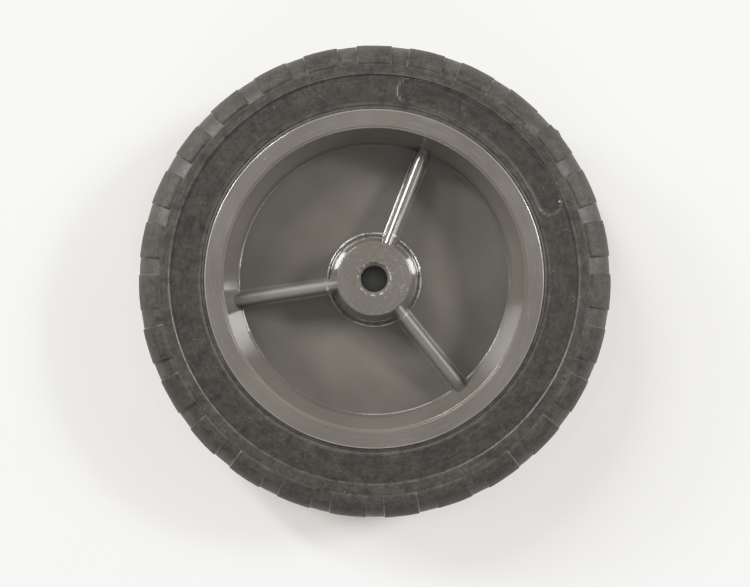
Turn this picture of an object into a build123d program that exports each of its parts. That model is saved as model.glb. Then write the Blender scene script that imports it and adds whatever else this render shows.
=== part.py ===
"""Small garden machine wheel: a solid rubber tyre stretched over a one-piece moulded plastic wheel body.

Millimetres. The wheel lies on its side: the axle bore runs along +Z, the floor is z = 0, and the origin is
where the bore axis meets the floor. Both halves mirror about the mid plane, apart from the tread blocks,
which are staggered, and the bare pad on the upper side wall.
"""
from build123d import *

import math
import os

# ---------------------------------------------------------------- driving dimensions
tyre_od = 177.8            # over the tread blocks, nominal 7 in
tyre_w = 38.1              # over the rim faces and the ends of the tread blocks, nominal 1 1/2 in
ring_drop = 0.40           # flat shoulder ring below the rim face
block_count = 27           # tread blocks in each row
block_h = 0.5              # how far a block stands above the base of the tread
block_deg = 8.7            # block width round the wheel, at its foot
block_phase = 10.1         # angle of the first upper block's middle, from +X
block_edge = 0.35          # bevel round the top of a block
row_gap = 0.8              # half width of the plain band between the two rows
crease_r = 78.9            # where the flat shoulder ring ends and the rounded shoulder starts
crease_deg = 16.0          # slope of the notch floors at that crease
block_in_r, block_in_deg = 79.35, 12.0   # inner end of a block and the slope of its top there
step_r0, step_r1 = 75.3, 75.7   # sloping step from side wall up to the shoulder ring
wall_drop = 1.1            # side wall below the rim face
bead_drop = 1.2            # bead lip below the rim face
pad_start, pad_end = 20.0, 83.0  # plain recessed pad, degrees
pad_r, pad_w, pad_depth = 70.5, 8.6, 0.35

rim_r = 62.55              # outside of the rim flanges
rim_edge = 0.5             # round on the flange's outer corner
channel_r = 59.0           # bottom of the channel that holds the tyre
channel_u0, channel_u1 = 13.0, 14.6   # channel flank, from the mid plane
lip_r = 56.45              # inner edge of the flat rim face
lip_step = 0.22            # small step down inside that edge
lip_edge_r, lip_edge = 55.45, 0.32    # inner corner of the rim and its round
web_t = 4.0                # thickness of the disc
web_r = 52.0               # where the drafted rim wall meets the disc
web_fillet = 0.55
boss_len = 35.0            # hub length, 1 3/8 in
boss_face_r = 13.25        # flat of the hub end
boss_edge = 0.5
boss_foot_r = 17.05        # drafted hub wall at the disc
bead_ring_r, bead_ring = 17.75, 0.42  # small moulded ring round the hub's foot
bore_r = 5.0               # clears a 3/8 in axle
bore_chamfer = 1.25
rib_angles = (68.7, 188.7, 308.7)
rib_top_hub, rib_top_rim = 35.4, 28.0  # height of a rib at the hub wall and at the rim wall
rib_half_top = 1.95        # half thickness at rib_top_hub
rib_draft = math.tan(math.radians(1.5))
rib_edge = 1.9             # the top is nearly a full round
rib_flare = 1.0

# ---------------------------------------------------------------- derived
zm = tyre_w / 2.0
half = tyre_w / 2.0
web_u = web_t / 2.0
face_u = boss_len / 2.0
base_r = tyre_od / 2.0 - block_h


def edges_of(start, steps, sign):
    """Edges of one half outline in (radius, z); steps are (end,) lines or (mid, end) arcs, u counted from the mid plane."""
    def at(p):
        return (p[0], zm + sign * p[1])
    here, made = start, []
    for s in steps:
        if len(s) == 1:
            made.append(Line(at(here), at(s[0])))
        else:
            made.append(ThreePointArc(at(here), at(s[0]), at(s[1])))
        here = s[-1]
    return made


def ring(start, steps):
    """Solid of revolution whose outline is the given half and its mirror image."""
    outline = edges_of(start, steps, 1) + edges_of(start, steps, -1)
    face = make_face(outline)
    return revolve(Plane.XZ * face, Axis.Z, 360)


def arc_corner(centre, r, a0, a1):
    """(mid, end) of an arc about a centre, angles in degrees."""
    am = math.radians((a0 + a1) / 2)
    ae = math.radians(a1)
    return ((centre[0] + r * math.cos(am), centre[1] + r * math.sin(am)),
            (centre[0] + r * math.cos(ae), centre[1] + r * math.sin(ae)))


# ---------------------------------------------------------------- wheel body
# hub wall: drafted cone from the disc up to the rounded edge of the hub's end face
cone_top = (boss_face_r + boss_edge, face_u - boss_edge)
# rim wall: drafted cone from the rim's rounded inner corner down to the fillet at the disc
ledge_u = half - lip_step - 0.04
wall_dx, wall_dz = lip_edge_r - web_r, ledge_u - lip_edge - web_u
wall_ang = math.atan2(wall_dz, wall_dx)
lip_c = (lip_edge_r + lip_edge * math.sin(wall_ang), ledge_u - lip_edge)
wall_top = (lip_c[0] - lip_edge * math.sin(wall_ang), lip_c[1] + lip_edge * math.cos(wall_ang))
wall_ang = math.atan2(wall_top[1] - web_u, wall_top[0] - web_r)
lip_ma = math.radians(90 + math.degrees(wall_ang) / 2)
lip_mid = (lip_c[0] + lip_edge * math.cos(lip_ma), lip_c[1] + lip_edge * math.sin(lip_ma))
# fillet between disc and rim wall, tangent to both
f_t = web_fillet / math.tan((math.pi - wall_ang) / 2)
fil_c = (web_r - f_t, web_u + web_fillet)
fil_end = (web_r + f_t * math.cos(wall_ang), web_u + f_t * math.sin(wall_ang))
fil_mid_a = math.radians(-90) + (wall_ang) / 2
fil_mid = (fil_c[0] + web_fillet * math.cos(fil_mid_a), fil_c[1] + web_fillet * math.sin(fil_mid_a))
ring_l, ring_o = bead_ring_r - bead_ring, bead_ring_r + bead_ring

body_steps = [
    ((2.0, face_u),),
    ((boss_face_r, face_u),),
    arc_corner((boss_face_r, face_u - boss_edge), boss_edge, 90, 0),
    ((boss_foot_r, web_u),),
    ((ring_l, web_u),),
    ((bead_ring_r, web_u + bead_ring), (ring_o, web_u)),
    ((web_r - f_t, web_u),),
    (fil_mid, fil_end),
    (wall_top,),
    (lip_mid, (lip_c[0], ledge_u)),
    ((lip_r - lip_step, half - lip_step),),
    ((lip_r - 0.707 * lip_step, half - 0.293 * lip_step), (lip_r, half)),
    ((rim_r - rim_edge, half),),
    arc_corner((rim_r - rim_edge, half - rim_edge), rim_edge, 90, 0),
    ((rim_r, channel_u1),),
    ((channel_r, channel_u0),),
    ((channel_r, 0.0),),
]
body = ring((2.0, 0.0), body_steps)


def rib(angle, up):
    """One tapered rib from the hub to the rim: drafted sides, flared foot, sloping top with rounded edges."""
    z0 = zm + web_u - 0.35
    zt = rib_top_hub + 2.0
    ht = rib_half_top - 2.0 * rib_draft
    zf = zm + web_u + rib_flare
    hf = rib_half_top + rib_draft * (rib_top_hub - zf)
    hb = hf + rib_flare
    right = [
        Line((ht, zt), (hf, zf)),
        ThreePointArc((hf, zf), (hf + 0.36 * rib_flare, zm + web_u + 0.33 * rib_flare), (hb + 0.25, zm + web_u - 0.1)),
        Line((hb + 0.25, zm + web_u - 0.1), (hb + 0.25, z0)),
    ]
    left = [
        Line((-ht, zt), (-hf, zf)),
        ThreePointArc((-hf, zf), (-hf - 0.36 * rib_flare, zm + web_u + 0.33 * rib_flare), (-hb - 0.25, zm + web_u - 0.1)),
        Line((-hb - 0.25, zm + web_u - 0.1), (-hb - 0.25, z0)),
    ]
    face = make_face(right + left + [Line((-ht, zt), (ht, zt)), Line((-hb - 0.25, z0), (hb + 0.25, z0))])
    r0, r1 = 10.0, 57.0
    bar = extrude(Plane(origin=(r0, 0, 0), x_dir=(0, 1, 0), z_dir=(1, 0, 0)) * face, amount=r1 - r0)
    # sloping top, through the two stated heights
    ra, rb = boss_face_r + 0.7, 53.6
    slope = (rib_top_rim - rib_top_hub) / (rb - ra)
    top = Plane.XZ * make_face([
        Line((r0 - 1, rib_top_hub + slope * (r0 - 1 - ra)), (r1 + 1, rib_top_hub + slope * (r1 + 1 - ra))),
        Line((r1 + 1, rib_top_hub + slope * (r1 + 1 - ra)), (r1 + 1, 60)),
        Line((r1 + 1, 60), (r0 - 1, 60)),
        Line((r0 - 1, 60), (r0 - 1, rib_top_hub + slope * (r0 - 1 - ra))),
    ])
    bar -= extrude(top, amount=20, both=True)
    crest = [e for e in bar.edges() if e.length > 40 and e.center().Z > zm + web_u + 6]
    bar = fillet(crest, rib_edge)
    bar = bar.rotate(Axis.Z, angle)
    return bar if up else bar.mirror(Plane.XY.offset(zm))


ribs = [rib(a, up) for up in (True, False) for a in rib_angles]
body = body + ribs
# axle bore with a bevelled mouth at each end
bore = Cylinder(bore_r, boss_len + 4, align=(Align.CENTER, Align.CENTER, Align.CENTER)).moved(Location((0, 0, zm)))
mouth = Cone(bore_r, bore_r + bore_chamfer, bore_chamfer, align=(Align.CENTER, Align.CENTER, Align.MIN))
body -= bore
body -= mouth.moved(Location((0, 0, zm + face_u - bore_chamfer)))
body -= mouth.rotate(Axis.X, 180).moved(Location((0, 0, zm - face_u + bore_chamfer)))

# ---------------------------------------------------------------- tyre
bead_u = half - bead_drop          # top of the bead lip
wall_u = half - wall_drop          # side wall plane
ring_u = half - ring_drop


def shoulder(r_in, u_in, r_out, slope):
    """Centre, radius and start angle of the arc that leaves (r_in, u_in) at the given slope and ends upright at r_out."""
    t = math.radians(slope)
    rad = (r_out - r_in) / (1 - math.sin(t))
    return (r_out - rad, u_in - rad * math.cos(t)), rad, 90.0 - slope


sh_c, sh_r, a_crease = shoulder(crease_r, ring_u, base_r, crease_deg)

tyre_steps = [
    ((channel_r, channel_u0),),
    ((rim_r, channel_u1),),
    ((rim_r, bead_u - 0.55),),
    ((rim_r + 0.32, bead_u - 0.55),),
    ((rim_r + 0.55, bead_u - 0.1),),
    ((rim_r + 0.75, bead_u),),
    ((rim_r + 1.35, bead_u),),
    ((rim_r + 1.75, bead_u - 0.3),),
    ((rim_r + 2.2, wall_u),),
    ((step_r0, wall_u),),
    ((step_r1, ring_u),),
    ((crease_r, ring_u),),
    arc_corner(sh_c, sh_r, a_crease, 0),
    ((base_r, 0.0),),
]
tyre = ring((channel_r, 0.0), tyre_steps)

# one tread block: a raised sector over the shoulder and half the tread, its top edges bevelled
bk_c, bk_r, a_in = shoulder(block_in_r, half + 0.012, tyre_od / 2.0, block_in_deg)


def on(c, r, a):
    return (c[0] + r * math.cos(math.radians(a)), zm + c[1] + r * math.sin(math.radians(a)))


bk_low = bk_r - 2.6
foot_r = bk_c[0] + bk_low
block_face = make_face([
    ThreePointArc(on(bk_c, bk_r, a_in), on(bk_c, bk_r, a_in / 2), on(bk_c, bk_r, 0)),
    Line(on(bk_c, bk_r, 0), (tyre_od / 2.0, zm + row_gap)),
    Line((tyre_od / 2.0, zm + row_gap), (foot_r, zm + row_gap)),
    Line((foot_r, zm + row_gap), on(bk_c, bk_low, 0)),
    ThreePointArc(on(bk_c, bk_low, 0), on(bk_c, bk_low, a_in / 2), on(bk_c, bk_low, a_in)),
    Line(on(bk_c, bk_low, a_in), on(bk_c, bk_r, a_in)),
])
block = revolve(Plane.XZ * block_face, Axis.Z, block_deg).rotate(Axis.Z, -block_deg / 2)
outer_r = base_r + block_h
top_faces = []
for f in block.faces():
    c = f.center()
    rr = math.hypot(c.X, c.Y)
    # outer cylinder face and outer shoulder face
    d = math.hypot(rr - bk_c[0], c.Z - zm - bk_c[1])
    if f.geom_type == GeomType.CYLINDER and f.radius is not None and abs(f.radius - outer_r) < 0.05:
        top_faces.append(f)
    elif f.geom_type == GeomType.TORUS and d > bk_r - 1.0:
        top_faces.append(f)
rim_edges = []
for f in top_faces:
    for e in f.edges():
        if sum(1 for g in top_faces for h in g.edges() if h.is_same(e)) == 1:
            rim_edges.append(e)
block = chamfer(rim_edges, block_edge)

pitch = 360.0 / block_count
lower = block.mirror(Plane.XY.offset(zm))
blocks = []
for k in range(block_count):
    blocks.append(block.rotate(Axis.Z, block_phase + k * pitch))
    blocks.append(lower.rotate(Axis.Z, block_phase + (k + 0.5) * pitch))
tyre = tyre + blocks
# plain recessed pad on the upper side wall
pad_arc = CenterArc((0, 0), pad_r, pad_start + 3.5, pad_end - pad_start - 7.0)
pad = extrude(Plane.XY.offset(zm + wall_u - pad_depth) * SlotArc(pad_arc, pad_w), amount=pad_depth + 2.0)
tyre -= pad

# ---------------------------------------------------------------- write
os.makedirs("parts", exist_ok=True)
for name, shape in (("wheel_body", body), ("tyre", tyre)):
    solids = shape.solids()
    print(name, "solids", len(solids), "volume cm3", round(shape.volume / 1000, 1), "valid", all(s.is_valid for s in solids))
    export_step(shape if isinstance(shape, (Part, Compound)) else Compound(solids), f"parts/{name}.step")
print("tyre box", tyre.bounding_box().min, tyre.bounding_box().max)
print("shoulder radius", round(sh_r, 2), "block radius", round(bk_r, 2), "rim wall draft", round(90 - math.degrees(wall_ang), 1))
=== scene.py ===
"""Looks for a small garden machine wheel: worn rubber tyre on a satin grey moulded body, seen from straight above."""

import math

import bpy
import numpy as np
from mathutils import Matrix, Vector, noise


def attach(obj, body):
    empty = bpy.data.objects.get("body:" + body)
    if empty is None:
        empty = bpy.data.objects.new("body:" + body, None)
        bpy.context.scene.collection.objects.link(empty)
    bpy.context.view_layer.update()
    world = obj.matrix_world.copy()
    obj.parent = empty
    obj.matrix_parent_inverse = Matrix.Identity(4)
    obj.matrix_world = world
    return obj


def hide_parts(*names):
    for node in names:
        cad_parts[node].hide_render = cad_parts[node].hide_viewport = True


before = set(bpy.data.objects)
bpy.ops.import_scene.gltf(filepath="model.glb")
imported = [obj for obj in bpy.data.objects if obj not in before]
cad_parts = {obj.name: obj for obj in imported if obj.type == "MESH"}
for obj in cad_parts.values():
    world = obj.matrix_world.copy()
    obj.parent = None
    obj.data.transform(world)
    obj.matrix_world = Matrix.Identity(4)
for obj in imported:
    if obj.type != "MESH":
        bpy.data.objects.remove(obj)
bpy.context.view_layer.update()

MM = 0.001
ZM = 19.05                      # mid plane of the wheel, mm
HALF = 19.05
rng = np.random.default_rng(8028)


# ------------------------------------------------------------------ node helpers
class Graph:
    """Small helper for building a material's nodes."""

    def __init__(self, name):
        self.mat = bpy.data.materials.new(name)
        self.mat.use_nodes = True
        self.nt = self.mat.node_tree
        self.nt.nodes.clear()
        self.out = self.nt.nodes.new("ShaderNodeOutputMaterial")
        self.bsdf = self.nt.nodes.new("ShaderNodeBsdfPrincipled")
        self.nt.links.new(self.bsdf.outputs[0], self.out.inputs[0])

    def node(self, kind, **props):
        n = self.nt.nodes.new(kind)
        for k, v in props.items():
            setattr(n, k, v)
        return n

    def put(self, socket, value):
        if isinstance(value, bpy.types.NodeSocket):
            self.nt.links.new(value, socket)
        elif value is not None:
            socket.default_value = value

    def coords(self):
        return self.node("ShaderNodeTexCoord").outputs["Object"]

    def noise(self, vec, scale, detail=4.0, rough=0.55, distortion=0.0):
        n = self.node("ShaderNodeTexNoise")
        self.put(n.inputs["Vector"], vec)
        n.inputs["Scale"].default_value = scale
        n.inputs["Detail"].default_value = detail
        n.inputs["Roughness"].default_value = rough
        n.inputs["Distortion"].default_value = distortion
        return n.outputs["Fac"]

    def voronoi(self, vec, scale, feature="F1", randomness=1.0):
        n = self.node("ShaderNodeTexVoronoi", feature=feature)
        self.put(n.inputs["Vector"], vec)
        n.inputs["Scale"].default_value = scale
        n.inputs["Randomness"].default_value = randomness
        return n

    def ramp(self, fac, *stops, mode="LINEAR"):
        n = self.node("ShaderNodeValToRGB")
        n.color_ramp.interpolation = mode
        el = n.color_ramp.elements
        while len(el) < len(stops):
            el.new(0.5)
        for e, (pos, col) in zip(el, stops):
            e.position = pos
            e.color = col if len(col) == 4 else (*col, 1.0)
        self.put(n.inputs["Fac"], fac)
        return n.outputs["Color"]

    def math(self, op, a, b=None, c=None, clamp=False):
        n = self.node("ShaderNodeMath", operation=op, use_clamp=clamp)
        for s, v in zip(n.inputs, (a, b, c)):
            self.put(s, v)
        return n.outputs[0]

    def remap(self, v, a, b, c=0.0, d=1.0, smooth=True):
        n = self.node("ShaderNodeMapRange", interpolation_type="SMOOTHSTEP" if smooth else "LINEAR")
        self.put(n.inputs["Value"], v)
        for k, x in zip(("From Min", "From Max", "To Min", "To Max"), (a, b, c, d)):
            n.inputs[k].default_value = x
        return n.outputs["Result"]

    def mix(self, fac, a, b, blend="MIX"):
        n = self.node("ShaderNodeMix", data_type="RGBA", blend_type=blend)
        self.put(n.inputs["Factor"], fac)
        for s, v in ((n.inputs[6], a), (n.inputs[7], b)):
            if isinstance(v, tuple) and len(v) == 3:
                v = (*v, 1.0)
            self.put(s, v)
        return n.outputs[2]

    def bump(self, height, strength, distance, normal=None):
        n = self.node("ShaderNodeBump")
        n.inputs["Strength"].default_value = strength
        n.inputs["Distance"].default_value = distance
        self.put(n.inputs["Height"], height)
        self.put(n.inputs["Normal"], normal)
        return n.outputs[0]

    def vec(self, op, a, b=None, scale=None):
        n = self.node("ShaderNodeVectorMath", operation=op)
        self.put(n.inputs[0], a)
        self.put(n.inputs[1], b)
        if scale is not None:
            self.put(n.inputs["Scale"], scale)
        return n.outputs["Value"] if op in ("LENGTH", "DOT_PRODUCT", "DISTANCE") else n.outputs[0]

    def split(self, v):
        n = self.node("ShaderNodeSeparateXYZ")
        self.put(n.inputs[0], v)
        return n.outputs

    def join(self, x, y, z):
        n = self.node("ShaderNodeCombineXYZ")
        for s, v in zip(n.inputs, (x, y, z)):
            self.put(s, v)
        return n.outputs[0]

    def radius(self, co):
        """Distance from the axle axis, metres."""
        x, y, _ = self.split(co)
        return self.vec("LENGTH", self.join(x, y, 0.0))

    def round_and_round(self, co, along, across):
        """Coordinates in which features stretch round the wheel: slow along the circle, quick across it."""
        x, y, z = self.split(co)
        flat = self.join(x, y, 0.0)
        unit = self.vec("NORMALIZE", flat)
        ux, uy, _ = self.split(unit)
        rr = self.math("ADD", self.vec("LENGTH", flat), z)
        return self.join(self.math("MULTIPLY", ux, along), self.math("MULTIPLY", uy, along), self.math("MULTIPLY", rr, across))


def attr(g, name):
    n = g.node("ShaderNodeAttribute", attribute_name=name)
    return n.outputs["Fac"]


# ------------------------------------------------------------------ materials
def rubber():
    g = Graph("worn_rubber")
    co = g.coords()
    notch = attr(g, "notch")          # 1 on the smooth floors between blocks
    wall = attr(g, "side")            # 1 on the side wall
    edge_wear_highlight = attr(g, "edge_wear_highlight")            # 1 on edges polished by handling; on the step ring and the pad's outline also a painted highlight
    blotch = g.noise(co, 75.0, 5.0, 0.60)
    patch = g.noise(co, 240.0, 5.0, 0.64)
    fine = g.noise(co, 560.0, 5.0, 0.66, 0.6)
    grain = g.noise(co, 2900.0, 2.0, 0.6)
    streak = g.noise(g.round_and_round(co, 6.0, 1500.0), 1.0, 5.0, 0.62)
    tone = g.math("ADD", g.math("MULTIPLY", blotch, 0.17), g.math("MULTIPLY", patch, 0.27))
    tone = g.math("ADD", tone, g.math("MULTIPLY", fine, 0.34))
    tone = g.math("ADD", tone, g.math("MULTIPLY", streak, 0.22))
    base = g.ramp(tone, (0.405, (0.0168, 0.0160, 0.0136)), (0.50, (0.0352, 0.0336, 0.0290)), (0.595, (0.0556, 0.0531, 0.0461)))
    # side walls carry less bloom than the blocks
    base = g.mix(wall, base, (0.64, 0.633, 0.615), blend="MULTIPLY")
    # edges worn pale; along the step ring and the pad's outline the pale line is a painted highlight
    base = g.mix(g.math("MULTIPLY", edge_wear_highlight, g.remap(patch, 0.36, 0.60, 0.10, 0.42)), base, (0.098, 0.0945, 0.0865))
    # short dark marks in the skin
    mark = g.noise(g.vec("MULTIPLY", co, (1.0, 1.0, 0.2)), 330.0, 3.0, 0.6, 1.6)
    mark = g.math("MULTIPLY", g.remap(mark, 0.405, 0.355), g.remap(blotch, 0.44, 0.56))
    base = g.mix(g.math("MULTIPLY", mark, 0.60), base, (0.0110, 0.0105, 0.0090))
    # pale grains where the skin has scuffed
    cluster = g.remap(g.noise(co, 150.0, 4.0, 0.6), 0.50, 0.64)
    v = g.voronoi(co, 1500.0)
    keep = g.remap(g.split(v.outputs["Color"])[0], 0.62, 0.66)
    dot = g.math("MULTIPLY", g.remap(v.outputs["Distance"], 0.34, 0.16), keep)
    base = g.mix(g.math("MULTIPLY", g.math("MULTIPLY", dot, cluster), 0.62), base, (0.150, 0.145, 0.132))
    # settled dust
    v = g.voronoi(co, 190.0)
    keep = g.remap(g.split(v.outputs["Color"])[0], 0.945, 0.955)
    speck = g.math("MULTIPLY", g.remap(v.outputs["Distance"], 0.075, 0.045), keep)
    base = g.mix(g.math("MULTIPLY", speck, 0.8), base, (0.42, 0.41, 0.375))
    g.put(g.bsdf.inputs["Base Color"], base)
    rough = g.math("ADD", g.remap(patch, 0.3, 0.7, 0.50, 0.66), g.math("MULTIPLY", notch, -0.10))
    rough = g.math("ADD", rough, g.math("MULTIPLY", edge_wear_highlight, -0.26))
    g.put(g.bsdf.inputs["Roughness"], rough)
    sheen = g.math("ADD", g.math("MULTIPLY", edge_wear_highlight, 0.45), g.math("MULTIPLY", notch, 0.09))
    g.put(g.bsdf.inputs["Specular IOR Level"], g.math("ADD", sheen, 0.24))
    h = g.math("ADD", g.math("MULTIPLY", grain, 0.35), g.math("MULTIPLY", fine, 1.0))
    h = g.math("ADD", h, g.math("MULTIPLY", streak, 0.6))
    h = g.math("ADD", h, g.math("MULTIPLY", patch, 1.2))
    g.put(g.bsdf.inputs["Normal"], g.bump(h, 0.40, 0.00024))
    return g.mat


def plastic():
    g = Graph("satin_plastic")
    co = g.coords()
    r = g.radius(co)
    z = g.split(co)[2]
    cloud = g.noise(co, 38.0, 4.0, 0.5)
    fine = g.noise(co, 900.0, 3.0, 0.55)
    turn = g.noise(g.round_and_round(co, 7.0, 1900.0), 1.0, 4.0, 0.6)
    base = g.ramp(g.math("ADD", g.math("MULTIPLY", cloud, 0.93), g.math("MULTIPLY", turn, 0.07)),
                  (0.36, (0.106, 0.0988, 0.0872)), (0.64, (0.126, 0.1174, 0.1043)))
    # rubbed end of the hub and the rim's face, where it has been handled
    face = g.math("MULTIPLY", g.remap(r, 0.0136, 0.0131), g.remap(r, 0.0055, 0.0060))
    lip = g.math("MULTIPLY", g.remap(r, 0.0562, 0.0568), g.remap(r, 0.0622, 0.0619))
    face_and_lip = g.math("MAXIMUM", face, lip)
    rub = g.math("MULTIPLY", face_and_lip, g.remap(turn, 0.50, 0.68))
    base = g.mix(g.math("MULTIPLY", rub, 0.24), base, (0.205, 0.194, 0.176))
    # scuffs on the hub's end, most of them on the right
    scuff = g.math("MULTIPLY", face, g.remap(g.noise(co, 640.0, 4.0, 0.72, 0.8), 0.54, 0.66))
    scuff = g.math("MULTIPLY", scuff, g.remap(g.split(co)[0], -0.010, 0.010, 0.22, 0.62))
    base = g.mix(scuff, base, (0.262, 0.250, 0.228))
    v = g.voronoi(co, 150.0)
    keep = g.remap(g.split(v.outputs["Color"])[0], 0.93, 0.94)
    speck = g.math("MULTIPLY", g.remap(v.outputs["Distance"], 0.045, 0.022), keep)
    base = g.mix(g.math("MULTIPLY", speck, 0.6), base, (0.40, 0.385, 0.35))
    # painted shade: the hub's end face and the rim's face are darkened
    base = g.mix(face_and_lip, base, (0.81, 0.81, 0.81), blend="MULTIPLY")
    # painted shade: the disc is a little darker towards its edge
    painted_edge_shade = g.math("MULTIPLY", g.remap(r, 0.026, 0.046), g.remap(r, 0.0530, 0.0518))
    base = g.mix(painted_edge_shade, base, (0.87, 0.87, 0.87), blend="MULTIPLY")
    # ragged pale flash round the foot of the hub; its being paler on the far side is a painted highlight
    y = g.split(co)[1]
    foot_flash_highlight = g.math("MULTIPLY", g.remap(r, 0.01715, 0.01745), g.remap(r, 0.01835, 0.01800))
    foot_flash_highlight = g.math("MULTIPLY", foot_flash_highlight, g.remap(g.noise(co, 420.0, 4.0, 0.7), 0.42, 0.58))
    base = g.mix(g.math("MULTIPLY", foot_flash_highlight, g.remap(y, -0.013, 0.003, 0.30, 0.85)), base, (0.46, 0.44, 0.405))
    # pale nicks round the mouth of the bore
    nick = g.math("MULTIPLY", g.remap(r, 0.00565, 0.00590), g.remap(r, 0.00650, 0.00625))
    nick = g.math("MULTIPLY", nick, g.remap(g.noise(co, 700.0, 3.0, 0.7), 0.50, 0.60))
    base = g.mix(g.math("MULTIPLY", nick, 0.70), base, (0.42, 0.40, 0.365))
    # the rim's outer edge is polished and glossier; its paler colour is a painted highlight
    polished_rim_highlight = g.math("MULTIPLY", g.remap(r, 0.06195, 0.06215), g.remap(z, 0.0366, 0.0371))
    base = g.mix(g.math("MULTIPLY", polished_rim_highlight, 0.45), base, (0.26, 0.248, 0.226))
    # painted shade: the corner between disc and rim is darkened on the far side, and a little on the near side; it is
    # also made rougher and less reflective there
    painted_corner_shade = g.math("MULTIPLY", g.remap(r, 0.0508, 0.0514), g.remap(r, 0.0530, 0.0524))
    painted_corner_shade = g.math("MULTIPLY", painted_corner_shade, g.math("ADD", g.remap(y, -0.004, 0.020), g.remap(y, -0.036, -0.046, 0.0, 0.6)))
    base = g.mix(painted_corner_shade, base, (0.72, 0.72, 0.72), blend="MULTIPLY")
    g.put(g.bsdf.inputs["Base Color"], base)
    rough = g.math("ADD", g.remap(cloud, 0.3, 0.7, 0.115, 0.150), g.math("MULTIPLY", face_and_lip, 0.20))
    rough = g.math("ADD", rough, g.math("MULTIPLY", rub, 0.06))
    rough = g.math("ADD", rough, g.math("MULTIPLY", painted_corner_shade, 0.42))
    # one rib is polished bright, two are scuffed dull
    masks = []
    for deg, dull in ((68.7, -0.075), (188.7, 0.36), (308.7, 0.30)):
        c, d = math.cos(math.radians(deg)), math.sin(math.radians(deg))
        out = g.vec("DOT_PRODUCT", co, (c, d, 0.0))
        off = g.math("ABSOLUTE", g.vec("DOT_PRODUCT", co, (-d, c, 0.0)))
        on = g.math("MULTIPLY", g.remap(out, 0.0130, 0.0145), g.remap(off, 0.0040, 0.0034))
        on = g.math("MULTIPLY", on, g.remap(out, 0.0535, 0.0525))
        rough = g.math("ADD", rough, g.math("MULTIPLY", on, dull))
        masks.append(on)
    # the hub's wall and the disc right beside it are glossier
    gloss = g.math("MULTIPLY", g.remap(r, 0.0139, 0.0142), g.remap(r, 0.0208, 0.0192))
    gloss = g.math("MULTIPLY", gloss, g.math("SUBTRACT", 0.75, g.math("MAXIMUM", masks[1], masks[2])), clamp=True)
    rough = g.math("ADD", rough, g.math("MULTIPLY", gloss, -0.075))
    gloss = g.math("MAXIMUM", gloss, g.math("MULTIPLY", masks[0], 0.70))
    # so is the rim's wall, with the edge of the disc
    shine = g.math("MULTIPLY", g.remap(r, 0.0425, 0.0455), g.remap(r, 0.0557, 0.0551))
    shine = g.math("SUBTRACT", shine, g.math("MAXIMUM", masks[1], masks[2]), clamp=True)
    gloss = g.math("MAXIMUM", gloss, g.math("MULTIPLY", shine, 0.46))
    g.put(g.bsdf.inputs["Roughness"], g.math("ADD", rough, g.math("MULTIPLY", shine, -0.035)))
    ior = g.remap(g.math("MAXIMUM", g.math("MULTIPLY", polished_rim_highlight, 0.55), gloss), 0.0, 1.0, 1.49, 2.1)
    g.put(g.bsdf.inputs["IOR"], g.math("SUBTRACT", ior, g.math("MULTIPLY", painted_corner_shade, 0.30)))
    h = g.math("ADD", g.math("MULTIPLY", fine, 0.25), g.math("MULTIPLY", g.math("MULTIPLY", turn, face_and_lip), 0.18))
    n1 = g.bump(g.noise(co, 110.0, 2.0, 0.45), 0.05, 0.0007)
    g.put(g.bsdf.inputs["Normal"], g.bump(h, 0.10, 0.00012, n1))
    return g.mat


def paper():
    g = Graph("pale_floor")
    co = g.coords()
    g.put(g.bsdf.inputs["Base Color"], g.ramp(g.noise(co, 9.0, 3.0, 0.5), (0.3, (0.738, 0.733, 0.713)), (0.7, (0.758, 0.753, 0.733))))
    g.bsdf.inputs["Roughness"].default_value = 0.85
    g.bsdf.inputs["Specular IOR Level"].default_value = 0.2
    return g.mat


# ------------------------------------------------------------------ tyre
N_BLOCK, PITCH, PHASE, HALF_BLOCK = 27, 360.0 / 27, 10.1, 4.35
RIM_R = 62.55
BEAD_U, WALL_U, RING_U = HALF - 1.2, HALF - 1.1, HALF - 0.40
BASE_R, TOP_R = 88.4, 88.9


def arc_of(r_in, u_in, r_out, slope):
    t = math.radians(slope)
    rad = (r_out - r_in) / (1 - math.sin(t))
    return r_out - rad, u_in - rad * math.cos(t), rad


SH = arc_of(78.9, RING_U, BASE_R, 16.0)
BK = arc_of(79.35, HALF + 0.012, TOP_R, 12.0)


def step01(x, a, b):
    t = np.clip((np.asarray(x, float) - a) / (b - a), 0, 1)
    return t * t * (3 - 2 * t)


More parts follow.
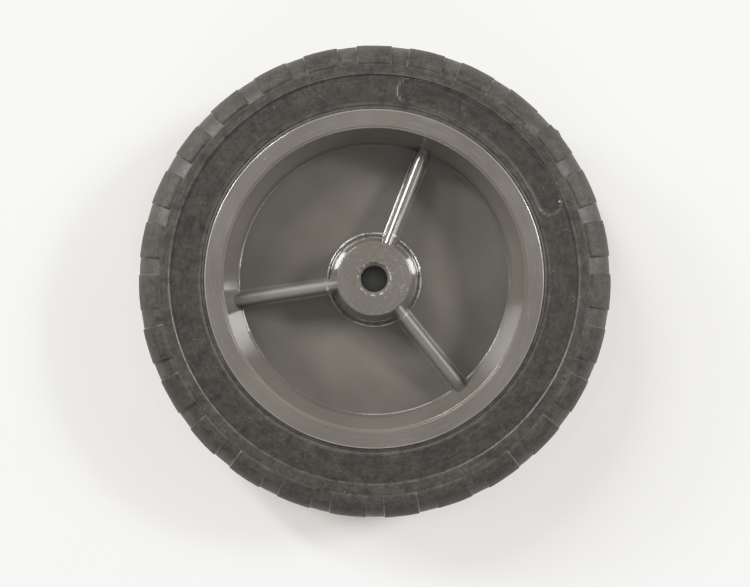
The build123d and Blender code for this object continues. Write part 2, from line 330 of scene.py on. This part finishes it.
def tyre_rows():
    """Half section from the rim to the middle of the tread: (r, u, r on a block, u on a block, share of the block, wall
    share, wobble, edge polish and painted highlight, how far over the shoulder)."""
    out = [(r, u, r, u, 0.0, 0.0, 0.0, 0.0, -1.0) for r, u in ((59.0, 13.0), (RIM_R, 14.6), (RIM_R, BEAD_U - 0.16))]
    bead = [(62.66, BEAD_U - 0.04), (62.85, BEAD_U + 0.03), (63.15, BEAD_U + 0.05), (63.45, BEAD_U + 0.01), (63.64, BEAD_U - 0.10),
            (63.80, BEAD_U - 0.36), (64.0, BEAD_U - 0.37), (64.25, WALL_U - 0.10), (64.6, WALL_U)]
    out += [(r, u, r, u, 0.0, 0.55, 0.4, 0.35, -1.0) for r, u in bead]
    for r in (65.5, 66.05, 66.2, 66.35, 67.2, 68.6, 70.0, 71.4, 72.8, 74.0, 74.65, 74.8, 74.95, 75.2):
        out.append((r, WALL_U, r, WALL_U, 0.0, 1.0, 1.0, 0.0, -1.0))
    # the step's rows carry edge values, drawn as a pale painted highlight
    for r, u, e in ((75.30, WALL_U + 0.02, 0.2), (75.40, WALL_U + 0.22, 0.6), (75.52, RING_U - 0.20, 1.0), (75.64, RING_U - 0.07, 1.0), (75.80, RING_U - 0.01, 0.8)):
        out.append((r, u, r, u, 0.0, 0.7, 1.0, e, -1.0))
    for r in (76.2, 77.1, 78.0, 78.6):
        out.append((r, RING_U, r, RING_U, 0.0, 0.15, 1.0, 0.0, -1.0))
    out.append((78.9, RING_U - 0.015, 78.9, RING_U - 0.015, 0.0, 0.1, 1.0, 0.0, -1.0))

    def floor_at(t):
        return SH[0] + SH[2] * math.sin(t), SH[1] + SH[2] * math.cos(t)

    def block_at(t):
        return BK[0] + BK[2] * math.sin(t), BK[1] + BK[2] * math.cos(t)

    t0, t1 = math.radians(16.0), math.radians(12.0)
    for r, share in ((79.15, 0.0), (79.36, 0.10), (79.62, 0.46), (79.92, 0.86), (80.3, 1.0)):
        t = math.asin((r - SH[0]) / SH[2])
        tb = math.asin((max(r, 79.36) - BK[0]) / BK[2])
        out.append((*floor_at(t), *block_at(tb), share, 0.0, 1.0, 0.0, 0.0))
    for deg in (27, 32, 37, 42, 48, 54, 60, 66, 72, 78, 84, 90):
        t = math.radians(deg)
        tb = t1 + (t - t0) * (math.pi / 2 - t1) / (math.pi / 2 - t0)
        out.append((*floor_at(t), *block_at(tb), 1.0, 0.0, 1.0, 0.0, (deg - 20) / 70.0))
    for u, share in ((4.5, 1.0), (3.0, 1.0), (1.5, 1.0), (1.12, 1.0), (0.95, 0.9), (0.80, 0.1), (0.5, 0.0), (0.2, 0.0)):
        out.append((BASE_R, u, TOP_R, u, share, 0.0, 1.0, 0.0, 1.0))
    return out


def tyre_columns():
    """Angles round the wheel, close together at the block edges, with the upper and lower row's share of block at each."""
    spread = (-0.34, -0.14, 0.0, 0.14, 0.34)
    jit = rng.normal(0.0, 0.11, (N_BLOCK, 4))
    cols = []
    back = PITCH / 2 - HALF_BLOCK
    for k in range(N_BLOCK):
        c = PHASE + k * PITCH
        a, b = -HALF_BLOCK + jit[k, 0], HALF_BLOCK + jit[k, 1]
        p, q = -back + jit[k, 2], back + jit[k, 3]       # the lower row's notch runs from p to q
        local = [-PITCH / 2, -5.5, -3.35, -1.2, 0.0, 1.2, 3.35, 5.5]
        for e in (a, b, p, q):
            local += [e + s for s in spread]
        for x in sorted(local):
            up = float(step01(min(x - a, b - x), -0.14, 0.14))
            low = 1.0 - float(step01(min(x - p, q - x), -0.14, 0.14))
            cols.append((c + x, up, low, k))
    have = sorted(x[0] % 360 for x in cols)
    extra = [a for a in np.concatenate([np.arange(20.0, 23.9, 0.19), np.arange(79.2, 83.1, 0.19)]) if min(abs(a - h) for h in have) > 0.07]
    for a in extra:
        k = int(round((a - PHASE) / PITCH))
        x = a - PHASE - k * PITCH
        e = (-HALF_BLOCK + jit[k, 0], HALF_BLOCK + jit[k, 1])
        n = (-back + jit[k, 2], back + jit[k, 3])
        cols.append((a, float(step01(min(x - e[0], e[1] - x), -0.14, 0.14)), 1.0 - float(step01(min(x - n[0], n[1] - x), -0.14, 0.14)), k))
    return sorted(cols, key=lambda x: x[0])


def pad_edge(r, a):
    """Distance outside the outline of the shallow bare pad on the upper side wall, at radius r and angle a."""
    a0, a1, mid, half = 23.5, 79.5, 70.5, 4.3
    a = ((a + 180) % 360) - 180
    if a0 <= a <= a1:
        return abs(r - mid) - half
    e = a0 if abs(a - a0) < abs(a - a1) else a1
    t = math.radians(a - e)
    return math.hypot(r * math.cos(t) - mid, r * math.sin(t)) - half


def make_tyre():
    rows, cols = tyre_rows(), tyre_columns()
    lift = np.clip(1.0 + rng.normal(0.0, 0.10, (N_BLOCK, 2)), 0.75, 1.15)
    bright = 0.15 + 1.15 * rng.random((N_BLOCK, 2)) ** 1.4      # how far each block's two ends are polished
    section = [("up", i) for i in range(len(rows))] + [("mid", 0)] + [("low", i) for i in reversed(range(len(rows)))] + [("in", 0)]
    nr, nc = len(section), len(cols)
    co = np.zeros((nr, nc, 3))
    notch, side, edge_wear_highlight = np.zeros((nr, nc)), np.zeros((nr, nc)), np.zeros((nr, nc))
    for i, (where, k) in enumerate(section):
        for j, (ang, up, low, block) in enumerate(cols):
            ca, sa = math.cos(math.radians(ang)), math.sin(math.radians(ang))
            worn = 0.62 * float(step01(-sa, 0.55, 0.92))        # the tread is worn almost smooth on this side
            over = -1.0
            if where == "in":
                r, u, wob, nx, nu = 59.0, 0.0, 0.0, 0.0, 0.0
            elif where == "mid":
                r, u, wob, nx, nu = BASE_R + 0.16, 0.0, 0.4, 1.0, 0.0
                notch[i, j] = 0.5
                over = 1.0
            else:
                rb, ub, rt, ut, share, wall, wob, shine, over = rows[k]
                on = up if where == "up" else low
                m = on * share * lift[block, 0 if where == "up" else 1]
                # the gaps fill up towards the outline
                fill = max(worn, 0.55 * float(step01(over, 0.25, 0.9)))
                m = m + (max(share, 0.0) - m) * fill if m < share else m
                r, u = rb + (rt - rb) * m, ub + (ut - ub) * m
                side[i, j], edge_wear_highlight[i, j] = 0.74 * wall, shine
                if over >= 0.0:
                    notch[i, j] = (1.0 - min(on * share, 1.0)) * (1.0 - 0.6 * fill)
                    end = bright[block, int(ang > PHASE + block * PITCH)]
                    edge_wear_highlight[i, j] = 0.9 * end * (1.0 - abs(2.0 * on - 1.0)) * min(share, 1.0)
                if where == "up" and wall == 1.0:
                    d = pad_edge(r, ang)
                    side[i, j] += 0.26 * float(step01(d, 0.1, -0.6))
                    u -= 0.35 * float(step01(d, 0.16, -0.16)) - 0.12 * math.exp(-((d - 0.22) / 0.22) ** 2)
                    # the pad's outline carries an edge value, drawn as a pale painted highlight
                    edge_wear_highlight[i, j] = 0.9 * math.exp(-((d - 0.2) / 0.3) ** 2)
                if over < 0.0:
                    nx, nu = 0.0, 1.0
                else:
                    nx, nu = (r - SH[0]), max(u - SH[1], 0.0)
                    ln = math.hypot(nx, nu) or 1.0
                    nx, nu = nx / ln, nu / ln
            sgn = -1.0 if where == "low" else 1.0
            if wob:
                p = Vector((r * ca, r * sa, sgn * u)) * 0.11
                d = wob * (0.060 * noise.noise(p) + 0.040 * noise.noise(p * 4.3) + 0.022 * noise.noise(p * 13.0))
                if over > 0.2:
                    d += (0.04 + 0.16 * worn) * noise.noise(Vector((ca * 9.0, sa * 9.0, sgn)))
                r += nx * d
                u += nu * min(d, 0.03)
            # the tyre sits a little off centre on its rim
            r += (0.28 + 0.17 * ca - 0.68 * sa) * float(step01(r, 76.0, 84.0))
            # torn nib of rubber on one block, on the outline
            if where == "up" and over > 0.5:
                r += 0.75 * math.exp(-((ang - 38.7) / 0.9) ** 2 - ((u - 8.5) / 1.6) ** 2)
            co[i, j] = (r * ca, r * sa, ZM + sgn * u)
    # nothing stands outside the CAD section's width
    co[:, :, 2] = np.clip(co[:, :, 2], 0.0, 38.1)
    idx = np.arange(nr * nc).reshape(nr, nc)
    a = idx
    b = np.roll(idx, -1, axis=1)
    c = np.roll(b, -1, axis=0)
    d = np.roll(idx, -1, axis=0)
    quads = np.stack([a, d, c, b], axis=-1).reshape(-1, 4)
    me = bpy.data.meshes.new("tyre_worn")
    me.from_pydata((co.reshape(-1, 3) * MM).tolist(), [], quads.tolist())
    me.validate()
    for name, data in (("notch", notch), ("side", side), ("edge_wear_highlight", edge_wear_highlight)):
        at = me.attributes.new(name, "FLOAT", "POINT")
        at.data.foreach_set("value", data.reshape(-1).astype(np.float32))
    ob = bpy.data.objects.new("tyre_worn", me)
    bpy.context.scene.collection.objects.link(ob)
    me.shade_smooth()
    me.set_sharp_from_angle(angle=math.radians(62))
    return ob


# ------------------------------------------------------------------ build
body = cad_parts["wheel_body"]
body.data.materials.clear()
body.data.materials.append(plastic())

tyre = make_tyre()
tyre.data.materials.append(rubber())
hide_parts("tyre")
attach(tyre, "root")


# ------------------------------------------------------------------ floor, light, camera
def make_floor():
    n, size = 24, 6.0
    xs = np.linspace(-size, size, n + 1)
    verts = [(x, y, -0.0002) for y in xs for x in xs]
    faces = [(i * (n + 1) + j, i * (n + 1) + j + 1, (i + 1) * (n + 1) + j + 1, (i + 1) * (n + 1) + j) for i in range(n) for j in range(n)]
    me = bpy.data.meshes.new("floor")
    me.from_pydata(verts, [], faces)
    ob = bpy.data.objects.new("floor", me)
    bpy.context.scene.collection.objects.link(ob)
    me.materials.append(paper())


make_floor()


AWAY = 2.5                      # every light stands this many times farther off than its listed size and distance


def softbox(name, az, el, dist, w, h, power, shape="RECTANGLE", colour=(1.0, 0.985, 0.955)):
    d = Vector((math.cos(math.radians(az)) * math.cos(math.radians(el)), math.sin(math.radians(az)) * math.cos(math.radians(el)), math.sin(math.radians(el))))
    li = bpy.data.lights.new(name, "AREA")
    li.shape = shape
    li.size, li.size_y = w * AWAY, h * AWAY
    li.energy = power * AWAY * AWAY
    li.color = colour
    ob = bpy.data.objects.new(name, li)
    ob.location = d * dist * AWAY
    ob.rotation_euler = (-d).to_track_quat("-Z", "Y").to_euler()
    bpy.context.scene.collection.objects.link(ob)
    return ob


# two side lights with a bright core each, a strip on the left, small high ones, a weak near one, one overhead, and a dim room
softbox("core_right", 22.0, 33.0, 1.00, 0.24, 0.13, 8.3)
softbox("core_left", 150.0, 25.0, 1.00, 0.24, 0.13, 6.8)
softbox("glint_right", 18.5, 58.8, 1.00, 0.27, 0.09, 1.7, "ELLIPSE").visible_diffuse = False
softbox("glint_left", 152.5, 59.0, 1.00, 0.28, 0.09, 0.8, "ELLIPSE").visible_diffuse = False
softbox("high_right", 23.0, 67.9, 1.00, 0.16, 0.05, 0.55, "ELLIPSE")
softbox("high_left", 149.0, 68.2, 1.00, 0.18, 0.05, 0.60, "ELLIPSE")
softbox("wide_right", 20.0, 28.0, 1.20, 1.05, 0.80, 6.9)
softbox("wide_left", 156.0, 26.0, 1.20, 1.05, 0.80, 6.9)
softbox("near", 268.0, 38.0, 1.20, 0.90, 0.50, 5.2)
softbox("over", 90.0, 88.7, 1.00, 0.25, 0.25, 0.60, "ELLIPSE").visible_glossy = False
strip = softbox("strip_left", 127.4, 38.7, 0.918, 0.105, 0.30, 4.4)
along = Vector((0.7385, -0.1073, 0.6657))
back = strip.location.normalized()
along = (along - back * along.dot(back)).normalized()
strip.rotation_euler = Matrix((along.cross(back), along, back)).transposed().to_euler()

world = bpy.data.worlds.new("room")
bpy.context.scene.world = world
world.use_nodes = True
world.node_tree.nodes["Background"].inputs[0].default_value = (1.0, 0.99, 0.965, 1.0)
world.node_tree.nodes["Background"].inputs[1].default_value = 0.11

cam_data = bpy.data.cameras.new("camera")
cam = bpy.data.objects.new("camera", cam_data)
bpy.context.scene.collection.objects.link(cam)
cam_data.sensor_width = 36.0
cam_data.lens = 36.0 * 1012.0 / 750.0
cam.location = (0.0003, -0.0086, 0.410)
cam.rotation_euler = (math.radians(0.48), 0.0, 0.0)
cam_data.clip_start, cam_data.clip_end = 0.01, 20.0
bpy.context.scene.camera = cam

scene = bpy.context.scene
scene.view_settings.view_transform = "Standard"
scene.view_settings.look = "None"
# the brightest tones roll off softly, as on film
scene.view_settings.use_curve_mapping = True
roll = scene.view_settings.curve_mapping
roll.white_level = (1.6, 1.6, 1.6)
for x, y in ((0.125, 0.200), (0.225, 0.358), (0.40, 0.605), (0.53, 0.745), (0.70, 0.865), (0.85, 0.925)):
    roll.curves[3].points.new(x, y)
roll.curves[3].points[-1].location = (1.0, 0.965)
roll.update()
